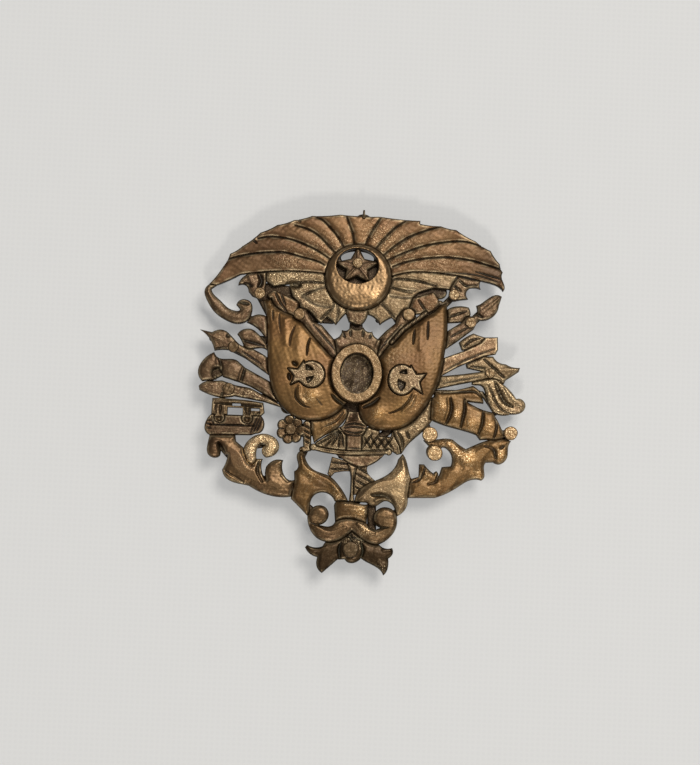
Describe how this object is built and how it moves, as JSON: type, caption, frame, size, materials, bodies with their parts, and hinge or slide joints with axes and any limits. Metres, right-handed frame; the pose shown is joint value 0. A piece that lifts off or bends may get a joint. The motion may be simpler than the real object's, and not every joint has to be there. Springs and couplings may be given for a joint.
{
  "type": "cap badge",
  "caption": "Large pierced brass cap badge: rays, crescent, drapes, weapons and scrolls round an empty oval setting, with rear lugs, split pin and top ring.",
  "frame": {"origin": "middle of the badge's outline, on the surface that its rear lugs stand on", "axes": "+Y towards the badge's top, where the rays and the ring are; +X to the right as seen from the front; +Z out of the decorated face"},
  "size_m": [0.0592, 0.0658, 0.0096],
  "materials": {
    "aged_brass": "cast, toned brown in the hollows and rubbed bright on the crests",
    "plate_brass": "dark toned sheet",
    "filed_brass": "filed flat, lightly tarnished",
    "dark_brass": "rough, blackened",
    "wire_brass": "drawn wire, tarnished"
  },
  "bodies": {
    "badge": {"back_plate": "plate_brass", "setting_collar": "filed_brass", "setting_floor": "dark_brass", "palmette": "aged_brass", "left_staff": "aged_brass", "right_staff": "aged_brass", "staff_cord": "aged_brass", "left_drape": "aged_brass", "right_drape": "aged_brass", "left_hem": "aged_brass", "right_hem": "aged_brass", "left_medallion": "aged_brass", "right_medallion": "aged_brass", "top_crescent": "aged_brass", "top_star": "aged_brass", "ray_fan": "aged_brass", "left_rays": "aged_brass", "right_rays": "aged_brass", "centre_tab": "aged_brass", "fan_hook": "aged_brass", "hook_claw": "aged_brass", "end_leaf": "aged_brass", "left_pennon": "aged_brass", "right_pennon": "aged_brass", "left_leaf": "aged_brass", "right_leaf": "aged_brass", "left_shield": "aged_brass", "spear_left": "aged_brass", "mace": "aged_brass", "dagger": "aged_brass", "balance": "aged_brass", "law_book": "aged_brass", "rosette": "aged_brass", "capital": "aged_brass", "foliage_left": "aged_brass", "foliage_right": "aged_brass", "bow_string": "aged_brass", "bow_limb": "aged_brass", "stem": "aged_brass", "acanthus_left": "aged_brass", "acanthus_right": "aged_brass", "volute": "aged_brass", "left_scroll": "aged_brass", "right_scroll": "aged_brass", "clasp_band": "aged_brass", "lower_scroll": "aged_brass", "ribbon_bow": "aged_brass", "spear_right": "aged_brass", "right_feather": "aged_brass", "board": "aged_brass", "arrow": "aged_brass", "horn_bow": "aged_brass", "cornucopia": "aged_brass", "rivets": "filed_brass", "wire_lugs": "wire_brass", "top_eye": "wire_brass"},
    "split_pin": {"split_pin": "wire_brass"},
    "ring": {"hanging_ring": "wire_brass"}
  },
  "joints": [
    {"name": "pin_slide", "type": "slide", "parent": "badge", "child": "split_pin", "axis": [-1, 0, 0], "range_m": [0, 0.03]},
    {"name": "ring_swing", "type": "hinge", "parent": "badge", "child": "ring", "pos_m": [-0.0004, 0.0323, 0.0037], "axis": [1, 0, 0], "range_deg": [-60, 120]}
  ]
}
